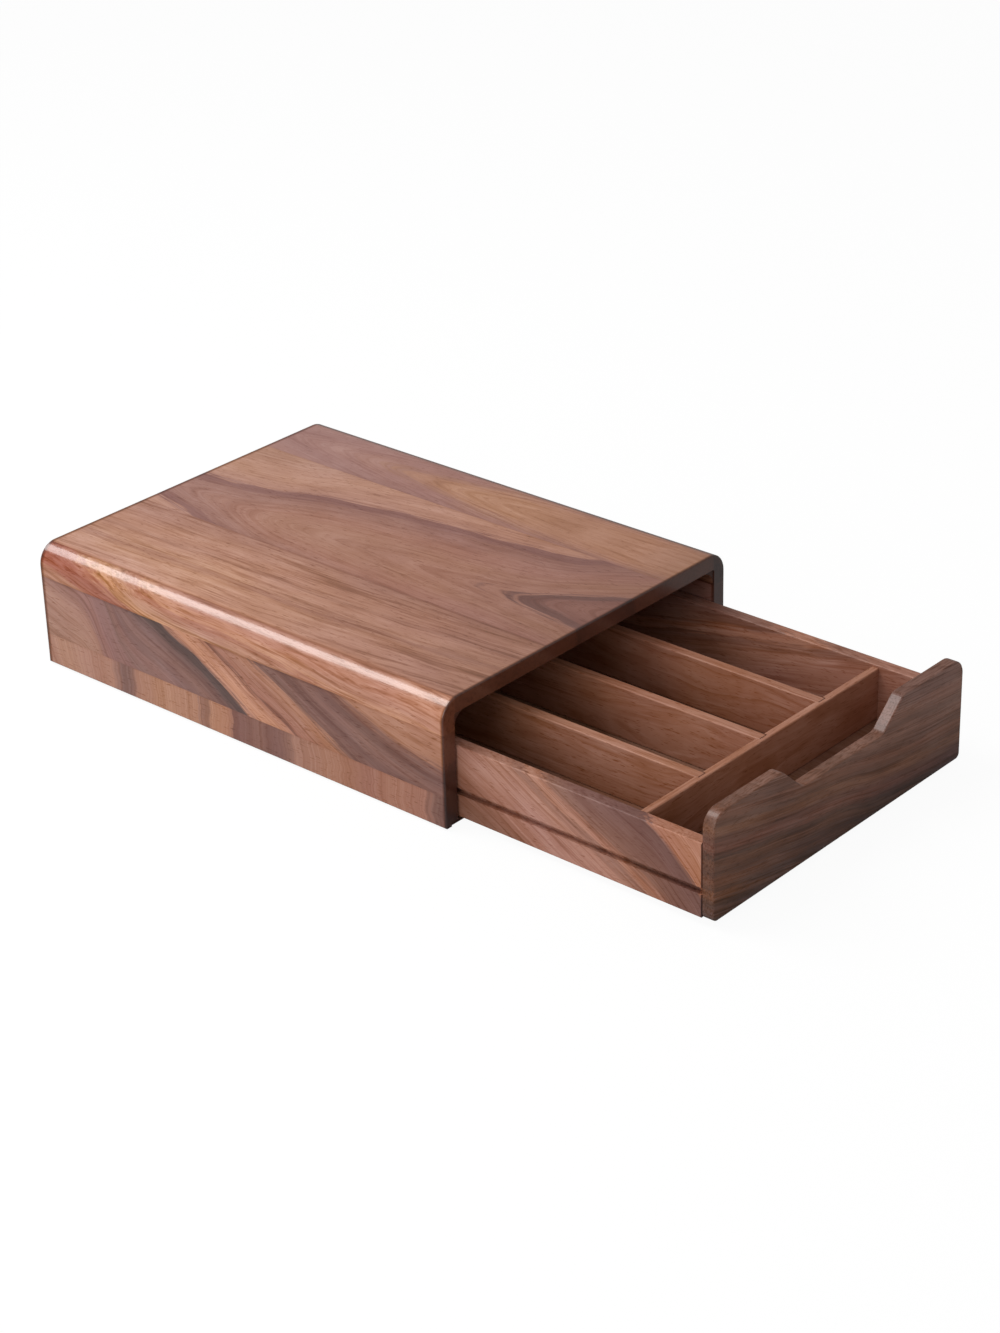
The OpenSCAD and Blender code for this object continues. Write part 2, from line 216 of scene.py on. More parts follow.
def layers_of(tree, turn, pith, climb, sway, wander, seed):
    """A point's place in its board and in its trunk, its layer in mm from the pith, and its place there."""
    place = add(tree, "TexCoord")
    trunk = add(tree, "Mapping", place.outputs["Object"], Rotation=turn, Scale=(1 / MM,) * 3)
    parts = add(tree, "SeparateXYZ", trunk)
    through, along = parts.outputs[1], parts.outputs[2]
    from_pith = add(tree, "VectorMath", trunk, (*pith, 0), operation="SUBTRACT")
    aside = add(tree, "CombineXYZ", drawn_curve(tree, along, sway))
    from_pith = add(tree, "VectorMath", from_pith, aside, operation="SUBTRACT")
    flat = add(tree, "VectorMath", from_pith, (1, 1, 0), operation="MULTIPLY")
    distance = add(tree, "VectorMath", flat, operation="LENGTH").outputs["Value"]
    lift = drawn_curve(tree, along, climb)

    bend = grown(tree, trunk, BEND, seed)
    bend = add(tree, "Math", bend, 2 * wander, -wander, operation="MULTIPLY_ADD")
    wiggle = grown(tree, trunk, WIGGLE, seed + 1)
    wiggle = add(tree, "Math", wiggle, wander / 2, bend, operation="MULTIPLY_ADD")
    layer = add(tree, "Math", add(tree, "Math", distance, lift), wiggle)
    follow = add(tree, "CombineXYZ", layer, through, along)
    return place, trunk, layer, follow


# %% [markdown]
# ## The colours of the layers
# Acacia is a figured hardwood. Bands from tan to purple-brown follow the layers, and a maker picks
# boards for them. Here each board gets its own list of colours by layer, in millimetres. A tint
# that changes slowly from orange to pink keeps a band from looking painted.

# %% Band colours
# Most of the noise lies between these two places, where the tint is orange and pink
TINTS = [(0.36, (1.0, 0.95, 0.87, 1)), (0.64, (1.0, 0.97, 0.98, 1))]


def band_colour(tree, layer, bands, follow, seed):
    """The colour of each layer; bands is a list of (mm from the pith, hex colour)."""
    start, stop = bands[0][0], bands[-1][0]
    feather = grown(tree, follow, FEATHER, seed + 9, 3.0)
    feather = add(tree, "Math", feather, FRAY, -FRAY / 2, operation="MULTIPLY_ADD")
    share = add(tree, "MapRange", add(tree, "Math", layer, feather), start, stop)
    stops = [((spot - start) / (stop - start), linear(code)) for spot, code in bands]
    ramp = add(tree, "ValToRGB", share, stops=stops)
    tint = add(tree, "ValToRGB", grown(tree, follow, CLOUD, seed + 2), stops=TINTS)
    return add(tree, "VectorMath", ramp, tint, operation="MULTIPLY")


# %% [markdown]
# ## The fine marks
# Close up, wood is not smooth in colour. Late growth draws a thin dark line at the end of a layer,
# fibres and streaks run along the trunk, and open pores are short dark dashes. Steep factors turn
# the soft noise into marks with an edge. Each mark then gives a factor near 1, and all of them are
# multiplied into one brightness.

# %% Fine marks
def marks_of(tree, layer, trunk, follow, seed, ring, ring_depth, streak, streak_depth):
    """One brightness factor from growth lines, streaks, fibres and pores, with the fibres and pores."""
    # From one growth line to the next the phase runs from 0 to 1, and its power is dark only near 1
    phase = add(tree, "Math", add(tree, "Math", layer, ring, operation="DIVIDE"), operation="FRACT")
    line = add(tree, "Math", phase, 6.0, operation="POWER")
    fade = grown(tree, follow, FADE, seed + 3)
    fade = add(tree, "Math", fade, 4.0, -1.5, operation="MULTIPLY_ADD", use_clamp=True)
    line = add(tree, "Math", line, fade, operation="MULTIPLY")
    streaks = grown(tree, follow, streak, seed + 4, 3.0)
    streaks = add(tree, "Math", streaks, 5.0, -2.5, operation="MULTIPLY_ADD", use_clamp=True)
    fibre = grown(tree, follow, FIBRE, seed + 5, 3.0)
    pore = grown(tree, trunk, PORE, seed + 6, 1.0)
    pore = add(tree, "Math", pore, 9.0, -5.6, operation="MULTIPLY_ADD", use_clamp=True)
    cloud = grown(tree, follow, CLOUD, seed + 7)
    mottle = grown(tree, follow, MOTTLE, seed + 8)

    # Fibres, clouds and mottle go both ways from 1, and the other marks only darken. Each line holds the
    # mark, how much it changes the brightness, and the brightness without it.
    light = add(tree, "Math", fibre, 0.5, 0.75, operation="MULTIPLY_ADD")
    for mark, depth, base in (
        (cloud, 0.4, 0.8),
        (mottle, 0.36, 0.82),
        (line, -ring_depth, 1.0),
        (streaks, -streak_depth, 1.0),
        (pore, -0.35, 1.0),
    ):
        factor = add(tree, "Math", mark, depth, base, operation="MULTIPLY_ADD")
        light = add(tree, "Math", light, factor, operation="MULTIPLY")
    return light, fibre, pore


# %% [markdown]
# ## Acacia under satin lacquer
# The parts come together. A glue seam is a hair-thin dark line along a board's edge, and it
# vanishes where the joint is tight. The end of a board drinks more finish than its face and is much
# darker. The eased rims beside it are darkened as well, as painted shade where the rounded edge
# turns from the light. A board's colour may also drift over its length, given as factors for red,
# green and blue; on the top boards this drift is painted shade, darker towards the front. Satin
# lacquer gives wood a soft sheen: a roughness near 0.4, with a thin clear coat over it, and a bump
# so small that only the pores break up the shine. Wood that is only oiled has no coat and is rougher.

# %% Acacia
# A glue line is dark to the first distance in mm and has faded at the second
SEAM_EDGE = (0.4, 2.0)
# Brightness of a glue line, by mm along the board: 1 where it can't be seen
OPEN_JOINT = ((-500, 0.7), (500, 0.7))
TIGHT_JOINT = ((-500, 0.94), (500, 0.94))
LEFT_JOINT = ((-197, 0.7), (-120, 0.7), (-60, 0.78), (60, 0.8), (100, 0.96), (197, 1.0))
UPPER_JOINT = ((-197, 0.96), (-170, 0.95), (-130, 0.86), (-90, 0.77), (-20, 0.73), (20, 0.79), (45, 0.98),
               (68, 0.98), (85, 0.76), (130, 0.8), (197, 0.84))
# Painted shade on the casing's eased rims at its front and back ends: axis, place, and the
# distances in mm to which it is dark and has faded
CASING_RIM_SHADE = [(Y, FRONT_END, 1.0, 2.6), (Y, BACK_END, 2.4, 4.4)]
RIM_SHADE_DEPTH = 0.4
END_TINT = (0.24, 0.15, 0.11)
LACQUER_IOR = 1.5
LACQUER_ROUGHNESS = 0.13
PORE_DEPTH = 0.1 * MM
BUMP_STRENGTH = 0.25
# How much the fibres vary the roughness
ROUGHNESS_SPREAD = 0.16


def acacia(
    name, turn, pith, bands, climb=STRAIGHT, sway=STRAIGHT, wander=6.0, seed=1, ring=6.5, ring_depth=0.2,
    streak=(2.6, 60), streak_depth=0.2, seams=(), rim_shade=(), end_axis=(0, 1, 0), end_tint=END_TINT,
    roughness=0.36, coat=0.8, drift=(), drift_along=Y,
):
    """The finish of one acacia board.

    turn and pith place the board in its trunk. bands, climb, sway and wander draw its layers, and seed makes
    its noise its own. ring is the spacing of growth lines and streak the size of streaks. seams holds an
    axis, a place and a joint for each glue line. drift holds a place and three colour factors for each mark.
    """
    material, tree, shader = start_material(name)
    place, trunk, layer, follow = layers_of(tree, turn, pith, climb, sway, wander, seed)
    colour = band_colour(tree, layer, bands, follow, seed)
    light, fibre, pore = marks_of(tree, layer, trunk, follow, seed, ring, ring_depth, streak, streak_depth)
    board = add(tree, "SeparateXYZ", add(tree, "Mapping", place.outputs["Object"], Scale=(1 / MM,) * 3))

    # The end is where the face looks along the trunk, and on the eased edge it comes in by degrees
    facing = add(tree, "VectorMath", place.outputs["Normal"], end_axis, operation="DOT_PRODUCT")
    end = add(tree, "Math", facing.outputs["Value"], operation="ABSOLUTE")
    end = add(tree, "Math", end, 3.0, -0.45, operation="MULTIPLY_ADD", use_clamp=True)

    lines = []
    for axis, spot, joint in seams:
        lines.append((axis, spot, *SEAM_EDGE, drawn_curve(tree, board.outputs[Y], joint)))
    # The casing's eased rims get painted shade here
    lines += [(*rim, RIM_SHADE_DEPTH) for rim in rim_shade]
    for axis, spot, near, far, dark in lines:
        off = add(tree, "Math", board.outputs[axis], spot, operation="SUBTRACT")
        off = add(tree, "Math", off, operation="ABSOLUTE")
        shade = add(tree, "MapRange", off, near, far, dark, 1.0)
        # The end itself has its own tint
        shade = add(tree, "Math", shade, end, operation="MAXIMUM")
        light = add(tree, "Math", light, shade, operation="MULTIPLY")

    soak = add(tree, "ValToRGB", end, stops=[(0, (1, 1, 1, 1)), (1, (*end_tint, 1))])
    shaded = add(tree, "VectorMath", colour, Scale=light, operation="SCALE")
    # A dark mark is deeper in colour too
    depth = add(tree, "Math", light, -0.6, 1.6, operation="MULTIPLY_ADD")
    shaded = add(tree, "HueSaturation", Saturation=depth, Color=shaded)
    shaded = add(tree, "VectorMath", shaded, soak, operation="MULTIPLY")
    if drift:
        start, stop = drift[0][0], drift[-1][0]
        share = add(tree, "MapRange", board.outputs[drift_along], start, stop)
        stops = [((spot - start) / (stop - start), (*factors, 1)) for spot, factors in drift]
        tone = add(tree, "ValToRGB", share, stops=stops)
        shaded = add(tree, "VectorMath", shaded, tone, operation="MULTIPLY")
    tree.links.new(shaded.outputs[0], shader.inputs["Base Color"])

    # Fibres stand up a little and pores go down
    relief = add(tree, "Math", fibre, 0.5, operation="MULTIPLY")
    relief = add(tree, "Math", pore, -0.7, relief, operation="MULTIPLY_ADD")
    bump = add(tree, "Bump", Strength=BUMP_STRENGTH, Distance=PORE_DEPTH, Height=relief)
    tree.links.new(bump.outputs[0], shader.inputs["Normal"])
    smoothest = roughness - ROUGHNESS_SPREAD / 2
    rough = add(tree, "Math", fibre, ROUGHNESS_SPREAD, smoothest, operation="MULTIPLY_ADD")
    tree.links.new(rough.outputs[0], shader.inputs["Roughness"])
    shader.inputs["IOR"].default_value = LACQUER_IOR
    shader.inputs["Coat Weight"].default_value = coat
    shader.inputs["Coat Roughness"].default_value = LACQUER_ROUGHNESS
    return material


def assign(material, *names):
    """Gives CAD nodes their finish."""
    for name in names:
        for slot in nodes[name].material_slots:
            slot.material = material
    print(material.name, "on", ", ".join(names))


# %% [markdown]
# ## The top
# Three boards make the top. The middle one was sawn close to the pith, so a tall arch runs down it,
# dusky inside and golden outside, with a second, darker arch at the front. Sawing a flat board out
# of the bent trunk gives both. The left one is straight-grained and streaky, as it was sawn far
# from the pith. The right one is dusky at the back and golden inside its own arch. All three are
# darker towards the front, and the left one is lighter at the back: this is painted shade and
# painted light, for a lamp behind the casing whose light falls off towards the mouth.

# %% Top boards
top_centre = acacia(
    "acacia_cathedral", TOP_LEANING, (-6, 10 - TOP_FACE),
    [(-60, "#9B6959"), (-24, "#956556"), (-14, "#89594C"), (-10, "#754A3F"), (-7, "#72473C"),
     (-4, "#A3735F"), (10, "#A87963"), (26, "#A57462"), (40, "#9C6E60"), (46, "#986A5C"),
     (51, "#88594F"), (56, "#86574D"), (59, "#B38470"), (72, "#BA8B74"), (95, "#B78872"),
     (110, "#AE806B")],
    climb=[(-197, -40), (-160, -27), (-120, -17), (-80, -15), (-40, -12), (0, -8), (40, -4), (80, 1),
           (100, 6), (130, 16), (150, 21), (197, 29)],
    sway=[(-197, 12), (-175, 8), (-150, 3), (-125, -1), (-80, -2), (-30, 0), (115, 0), (150, 3),
          (197, 10)],
    wander=5, seed=11, ring=7.5, ring_depth=0.12,
    seams=[(X, LEFT_SEAM, LEFT_JOINT), (X, RIGHT_SEAM, TIGHT_JOINT)], rim_shade=CASING_RIM_SHADE,
    # Painted shade: the board grows darker towards the front, where the lamp's light falls off
    drift=[(197, (1, 1, 1)), (0, (0.98, 0.93, 0.92)), (-60, (0.95, 0.87, 0.85)),
           (-100, (0.9, 0.82, 0.79)), (-140, (0.85, 0.77, 0.74)), (-190, (0.78, 0.71, 0.7))],
)
top_left = acacia(
    "acacia_streaked", TOP_TURN, (-420, -40),
    [(262, "#BD907B"), (280, "#BB8D78"), (300, "#BA8C77"), (318, "#B4856C"), (324, "#A0705A"),
     (330, "#B4866E"), (341, "#B3846E"), (345, "#A87A65"), (349, "#B0816B"), (358, "#B0816B"),
     (372, "#A87A66"), (388, "#A07260")],
    climb=[(-197, -11), (-60, 0), (197, 8)],
    wander=8, seed=3, ring=6.5, ring_depth=0.16, streak=(2.8, 60), streak_depth=0.38,
    seams=[(X, LEFT_SEAM, LEFT_JOINT), (X, -INNER_X, OPEN_JOINT)], rim_shade=CASING_RIM_SHADE,
    # Painted light at the back and painted shade towards the front, for the lamp behind the casing
    drift=[(197, (1.08, 1.07, 1.07)), (100, (1.1, 1.08, 1.06)), (30, (1.12, 1.1, 1.07)),
           (0, (1.05, 1.01, 0.98)), (-60, (0.91, 0.83, 0.79)), (-120, (0.85, 0.75, 0.71)),
           (-150, (0.78, 0.68, 0.64)), (-190, (0.73, 0.63, 0.59))],
)
top_right = acacia(
    "acacia_golden", TOP_TURN, (112, 8 - TOP_FACE),
    [(0, "#B58466"), (14, "#B78668"), (19, "#AE7D64"), (22, "#A3745F"), (26, "#A5776A"),
     (34, "#A1746A"), (46, "#9C7066"), (60, "#A3766A")],
    climb=[(-197, -8), (-60, -4), (20, 4), (85, 12), (197, 32)],
    wander=5, seed=19, ring=8.0, ring_depth=0.12,
    seams=[(X, RIGHT_SEAM, TIGHT_JOINT), (X, INNER_X, OPEN_JOINT)], rim_shade=CASING_RIM_SHADE,
    # Painted shade: the board grows darker towards the front, where the lamp's light falls off
    drift=[(197, (1, 1, 1)), (-40, (0.98, 0.94, 0.93)), (-100, (0.92, 0.86, 0.84)),
           (-150, (0.9, 0.83, 0.82)), (-190, (0.77, 0.71, 0.7))],
)
assign(top_centre, "top_centre_board")
assign(top_left, "top_left_board")
assign(top_right, "top_right_board")

# %% [markdown]
# ## The sides
# A side is glued up from three boards. The middle one has the bold figure: two dusky bands run down
# it towards the front, with an orange band between them. Its layers lie nearly level and climb
# steeply along the board, so the climb does most of the work here. The right side is a matching
# board from the same trunk.

# %% Middle boards of the sides
BOLD = [(-110, "#9D7561"), (-62, "#9E7362"), (-50, "#8F665C"), (-44, "#94695F"), (-30, "#8A625B"),
        (-10, "#88615A"), (-4, "#7F5B53"), (6, "#865F57"), (14, "#78554F"), (22, "#825D55"),
        (32, "#74534E"), (39, "#563F3B"), (44, "#523C38"), (47, "#AB7964"), (52, "#BE896D"),
        (62, "#B07D66"), (65, "#A67460"), (67, "#75493B"), (69, "#9B6855"), (77, "#9E6D59"),
        (88, "#A5735A"), (93, "#704C42"), (98, "#7C564C"), (104, "#6B463D"), (113, "#80594E"),
        (121, "#6E4A42"), (128, "#7C5246"), (133, "#A2725B"), (160, "#AB775F")]
left_middle = acacia(
    "acacia_bold_figure", SIDE_TURN, (-5, 20 - OUTER_X), BOLD,
    climb=[(197, -134), (172, -127), (155, -122), (130, -84), (107, -50), (70, -34), (40, -22),
           (20, -12), (0, -1), (-17, 9), (-48, 23), (-90, 45), (-140, 64), (-197, 74)],
    wander=4, seed=35, ring=6.0, ring_depth=0.1, streak_depth=0.26,
    seams=[(Z, LOWER_SEAM, TIGHT_JOINT), (Z, UPPER_SEAM, UPPER_JOINT)], rim_shade=CASING_RIM_SHADE,
)
right_middle = acacia(
    "acacia_bold_figure_matched", SIDE_TURN, (-5, OUTER_X - 20), BOLD,
    climb=[(197, 84), (60, 30), (0, 6), (-70, -30), (-197, -76)],
    wander=6, seed=38, ring=6.0, ring_depth=0.1, streak_depth=0.26,
    seams=[(Z, LOWER_SEAM, TIGHT_JOINT), (Z, UPPER_SEAM, UPPER_JOINT)], rim_shade=CASING_RIM_SHADE,
)
assign(left_middle, "left_middle_board")
assign(right_middle, "right_middle_board")

# %% [markdown]
# ### Lower boards
# A sawyer used what was left for the low edge. The trunk stood almost upright in this board, so the
# layers cross it and show as light and dark patches side by side. A climb of one millimetre for
# each millimetre of length stands them up.

# %% Lower boards of the sides
PATCHED = [(186, "#9C705E"), (197, "#A07360"), (204, "#AB816F"), (214, "#AB816F"), (221, "#A57A67"),
           (229, "#9E715E"), (259, "#A0725D"), (271, "#7A5850"), (280, "#7D594F"), (285, "#A0735F"),
           (306, "#A67860"), (346, "#A57760"), (351, "#8C6253"), (359, "#8E6453"), (363, "#A97960"),
           (378, "#A6755F"), (386, "#7A514A"), (398, "#7B534B"), (411, "#845C52"), (420, "#7C554C"),
           (429, "#78514A"), (440, "#865D4E"), (445, "#9A6E5B"), (486, "#9D6E59"), (516, "#946352"),
           (536, "#9C6C59"), (563, "#986856"), (572, "#7C564A"), (580, "#6C473E"), (596, "#6A463D")]
left_lower = acacia(
    "acacia_patched", SIDE_TURN, (13, 200 - OUTER_X), PATCHED, climb=[(197, -12), (-197, 382)],
    wander=14, seed=41, ring=9.0, ring_depth=0.0, streak_depth=0.16,
    seams=[(Z, LOWER_SEAM, TIGHT_JOINT)], rim_shade=CASING_RIM_SHADE,
)
right_lower = acacia(
    "acacia_patched_matched", SIDE_TURN, (13, OUTER_X - 200), PATCHED, climb=[(197, 360), (-197, -10)],
    wander=14, seed=44, ring=9.0, ring_depth=0.0, streak_depth=0.16,
    seams=[(Z, LOWER_SEAM, TIGHT_JOINT)], rim_shade=CASING_RIM_SHADE,
)
assign(left_lower, "left_lower_board")
assign(right_lower, "right_lower_board")

# %% [markdown]
# ### Upper boards
# The upper board carries the round corner, planed after gluing. The left one is orange with red
# streaks, which are close together and strong, and it gets lighter next to the mouth. The right one
# is dusky, like the bands of the middle board, and darker still as painted shade for its round
# corner, which turns away from the lamps.

# %% Upper boards of the sides
ORANGE = [(200, "#B2826E"), (211, "#B4846C"), (217, "#AE7A62"), (222, "#A0604C"), (229, "#995A48"),
          (234, "#A56B56"), (238, "#BA8768"), (242, "#C2906F"), (249, "#B98B75"), (256, "#A56E59"),
          (259, "#BA886D"), (268, "#AE7C69"), (285, "#AE7C69")]
left_upper = acacia(
    "acacia_orange", SIDE_TURN, (-155, -80), ORANGE,
    climb=[(197, -30), (130, -17), (110, -9), (60, 5), (0, 8), (-197, 24)],
    wander=10, seed=27, ring=5.0, ring_depth=0.16, streak_depth=0.42,
    seams=[(Z, UPPER_SEAM, UPPER_JOINT), (X, -INNER_X, OPEN_JOINT)], rim_shade=CASING_RIM_SHADE,
    drift=[(-130, (1, 1, 1)), (-150, (1.06, 1.07, 1.06)), (-172, (1.15, 1.2, 1.17)),
           (-197, (1.2, 1.26, 1.24))],
)

# Dusky partly in the wood and partly as painted shade for the round corner, which turns from the lamps
DUSKY_AND_SHADED = [(200, "#7E5A50"), (219, "#6A463E"), (230, "#80594E"), (248, "#6E4A42"), (259, "#7C5448"),
         (285, "#70493F")]
right_upper = acacia(
    "acacia_dusky_and_shaded", SIDE_TURN, (-155, 80), DUSKY_AND_SHADED, climb=[(197, 20), (-197, -24)],
    wander=10, seed=30, ring=5.0, ring_depth=0.16, streak_depth=0.42,
    seams=[(Z, UPPER_SEAM, UPPER_JOINT), (X, INNER_X, OPEN_JOINT)], rim_shade=CASING_RIM_SHADE,
)
assign(left_upper, "left_upper_board")
assign(right_upper, "right_upper_board")

# %% [markdown]
# ## Inside and behind
# Boards that nobody looks at are plainer: straight grain in one brown, oiled and not lacquered.
# Only the back panel has the casing's lacquer. The runners are waxed beech, a pale hard wood that
# slides well, and wax leaves it a dull sheen. The same function makes it, with pale bands and
# hardly any streaks.

# %% Plain boards
PLAIN = [(0, "#7C5645"), (60, "#86604C"), (120, "#784F3F"), (180, "#84604B"), (260, "#7A5443"),
         (420, "#85604C")]
plain_long = acacia(
    "acacia_plain_long", TOP_TURN, (-190, -60), PLAIN, wander=12, seed=43, ring=9.0, roughness=0.5, coat=0.0,
)
plain_panel = acacia(
    "acacia_plain_panel", FRONT_TURN, (-60, 170), PLAIN, wander=12, seed=48, ring=9.0, end_axis=(1, 0, 0),
)
waxed_beech = acacia(
    "waxed_beech", TOP_TURN, (-190, -60), [(0, "#BE986A"), (420, "#B58C60")], wander=6, seed=45, ring=5.0,
    ring_depth=0.1, streak_depth=0.06, roughness=0.5, coat=0.0,
)
assign(plain_long, "left_cove_strip", "right_cove_strip", "base_panel")
assign(plain_panel, "back_panel")
assign(waxed_beech, "left_runner", "right_runner")

# %% [markdown]
# ## The sides of the drawer
# The left side of the drawer shows, so it has figure too: pinkish towards the tunnel, a dusky
# field, and a light wedge next to the front. The pale pinkish part is partly the wood's own colour
# and partly a painted reflection of the white worktop. It is oiled only, because lacquer would
# stick in the runner groove, so it has no coat and a broad, weak sheen. The right one comes from the
# same trunk.

# %% Drawer sides
# The bands are written by mm from the edge of the dark heartwood, and this board's heartwood is thick
HEARTWOOD = 335
# Bands from 12 to 45 mm are pale and pinkish partly as a painted reflection of the white worktop
DRAWER_SIDE = [(-90, "#7E5443"), (-10, "#825846"), (4, "#8C5E4B"), (12, "#9F7060"), (30, "#A37566"),
               (45, "#A67867"), (53, "#875D4E"), (56, "#A77764"), (60, "#9F6D59"), (64, "#845B4C"),
               (75, "#7A5348"), (90, "#755048"), (100, "#6E4A41"), (104, "#A8735C"), (130, "#AC7861")]
drawer_left = acacia(
    "acacia_drawer_left", SIDE_TURN, (-300, -300), [(mm + HEARTWOOD, code) for mm, code in DRAWER_SIDE],
    climb=[(-20, -90), (-200, -34), (-262, -4), (-328, 27), (-348, 36), (-362, 43), (-382, 59),
           (-397, 73), (-410, 96)],
    wander=4, seed=51, ring=6.0, ring_depth=0.1, streak_depth=0.3, roughness=0.5, coat=0.0,
)
drawer_right = acacia(
    "acacia_drawer_right", SIDE_TURN, (-300, 300), [(mm + HEARTWOOD, code) for mm, code in DRAWER_SIDE],
    climb=[(-20, 40), (-410, -30)],
    wander=6, seed=54, ring=6.0, ring_depth=0.1, streak_depth=0.3, roughness=0.5, coat=0.0,
)
assign(drawer_left, "drawer_left_side")
assign(drawer_right, "drawer_right_side")

# %% [markdown]
# ### Inside the drawer
# Dividers, partition and tail are thin boards of orange-brown acacia with fine straight grain,
# oiled like the sides. The floor is a plain panel. The trunk runs along each board, so the
# partition and the tail are turned.

# %% Boards inside the drawer
INSIDE = [(0, "#A06E58"), (60, "#A8765E"), (120, "#986650"), (180, "#A6745C"), (300, "#9E6C56"),
          (460, "#A7755E")]
dividers = acacia(
    "acacia_dividers", SIDE_TURN, (-80, -200), INSIDE, wander=12, seed=57, ring=5.5, roughness=0.5, coat=0.0,
)
crosswise = acacia(
    "acacia_crosswise", FRONT_TURN, (-120, 60), INSIDE, wander=12, seed=61, ring=5.5, end_axis=(1, 0, 0),
    roughness=0.5, coat=0.0,
)
floor_panel = acacia(
    "acacia_floor_panel", TOP_TURN, (-190, -90), PLAIN, wander=14, seed=67, ring=8.0, roughness=0.5, coat=0.0,
)
assign(dividers, "left_divider", "middle_divider", "right_divider")
assign(crosswise, "bay_partition", "drawer_back")
assign(floor_panel, "drawer_floor")

# %% [markdown]
# ## Dowels
# Dowels are turned beech, bare because glue doesn't hold on a finish. Bare wood is pale, matt and
# has no coat, and its end is hardly darker than its side.

# %% Dowels
bare_beech = acacia(
    "bare_beech", SIDE_TURN, (-80, -200), [(0, "#D2B68A"), (460, "#C9A97D")], wander=4, seed=79, ring=3.0,
    ring_depth=0.08, streak_depth=0.05, end_tint=(0.8, 0.78, 0.75), roughness=0.6, coat=0.0,
)
assign(bare_beech, "corner_dowels", "front_dowels", "tail_dowels")

# %% [markdown]
# ## Screws and pins
# They are steel with a zinc plating. It gives the eye a bright grey metal with faint clouds from
# the bath, which are 1 to 2 mm across and change both the grey and the roughness.

# %% Zinc-plated steel
ZINC_CLOUD = 1.5 * MM
# The plating's roughness without a cloud, and how much a full cloud adds
ZINC_ROUGHNESS, ZINC_HAZE = 0.22, 0.2
zinc, zinc_tree, zinc_shader = start_material("zinc_plated_steel")
zinc_place = add(zinc_tree, "TexCoord")
bath_cloud = add(zinc_tree, "TexNoise", zinc_place.outputs["Object"], Scale=1 / ZINC_CLOUD, Detail=3.0)
zinc_greys = [(0, linear("#9C9E9F")), (1, linear("#C9CACB"))]
zinc_ramp = add(zinc_tree, "ValToRGB", bath_cloud, stops=zinc_greys)
zinc_rough = add(zinc_tree, "Math", bath_cloud, ZINC_HAZE, ZINC_ROUGHNESS, operation="MULTIPLY_ADD")
zinc_tree.links.new(zinc_ramp.outputs[0], zinc_shader.inputs["Base Color"])
zinc_tree.links.new(zinc_rough.outputs[0], zinc_shader.inputs["Roughness"])
zinc_shader.inputs["Metallic"].default_value = 1.0
assign(zinc, "back_screws", "base_pins")

# %% [markdown]
# ## Pads
# The pads are moulded rubber. It is nearly black and matt, and the fine grain of the mould, about
# 0.4 mm, keeps it from looking like paint.

# %% Moulded rubber
MOULD_GRAIN = 0.4 * MM
GRAIN_DEPTH = 0.05 * MM
rubber, rubber_tree, rubber_shader = start_material("moulded_rubber")
rubber_place = add(rubber_tree, "TexCoord")
mould_grain = add(rubber_tree, "TexNoise", rubber_place.outputs["Object"], Scale=1 / MOULD_GRAIN, Detail=2.0)
rubber_greys = [(0, linear("#1C1C1D")), (1, linear("#2E2E30"))]
rubber_ramp = add(rubber_tree, "ValToRGB", mould_grain, stops=rubber_greys)
rubber_bump = add(rubber_tree, "Bump", Strength=0.3, Distance=GRAIN_DEPTH, Height=mould_grain)
rubber_tree.links.new(rubber_ramp.outputs[0], rubber_shader.inputs["Base Color"])
rubber_tree.links.new(rubber_bump.outputs[0], rubber_shader.inputs["Normal"])
rubber_shader.inputs["Roughness"].default_value = 0.75
assign(rubber, "rubber_pads")

# %% [markdown]
# ## The wood of the drawer front
# The front is cut across the drawer from a dark board, and its fine lines fall a little
# towards the right. Its colours are darker still as painted shade, because the front faces away
# from the key lamp. Purple-brown, chocolate and a trace of red lie close together in it, and it
# gets darker and greyer towards its lower edge. Its finish is thinner than the casing's, so the
# coat is weak.

# %% Front wood
front_wood = acacia(
    "acacia_front_dark_and_shaded", FRONT_TURN, (-60, front_low.y / MM),
    # The bands are darker than the wood alone, as painted shade for a face turned away from the key lamp
    [(40, "#63432F"), (49, "#7A4F3A"), (53, "#60402F"), (60, "#805239"), (64, "#5F4030"),
     (71, "#754C38"), (76, "#5A3C2F"), (84, "#6C4735"), (88, "#54392D"), (95, "#74493A"),
     (100, "#633F31"), (107, "#7A513B"), (112, "#664536"), (119, "#784F3D"), (124, "#684739"),
     (132, "#7E5849"), (139, "#6C4C40"), (148, "#80594B"), (156, "#6F4E43"), (170, "#7E5B50")],
    climb=[(-140, 24), (-40, 12), (0, 2), (60, -8), (140, -26)],
    wander=4, seed=73, streak=(1.3, 90), ring=3.6, ring_depth=0.3, streak_depth=0.5,
    end_axis=(1, 0, 0), end_tint=(0.95, 0.95, 1.0), roughness=0.42, coat=0.15, drift_along=Z,
    drift=[(7, (0.56, 0.68, 0.98)), (12, (0.63, 0.74, 1.0)), (18, (0.78, 0.85, 1.0)),
           (27, (0.96, 0.97, 1.0)), (36, (1, 1, 1))],
)

# %% [markdown]
# ## The drawer front
# A joiner planes this board to size, saws the finger notch out of its top edge and takes every edge
# down with a router and sandpaper. The model goes the same way. It starts as one cube at the
# board's size. Four cuts mark the notch, its floor is pushed down, and bevels round the corners.
# Cut lines that end up inside a flat face are dissolved first, because a bevel that meets one comes
# out crooked.

# %% Drawer front, sizes and helpers
# Half the notch's width, above and below
NOTCH_TOP = 66 * MM
NOTCH_BOTTOM = 44 * MM
NOTCH_DEPTH = 20 * MM
NOTCH_R = 7 * MM
FRONT_TOP_R = 12 * MM
FRONT_LOW_R = 4 * MM
EASE = 1.1 * MM
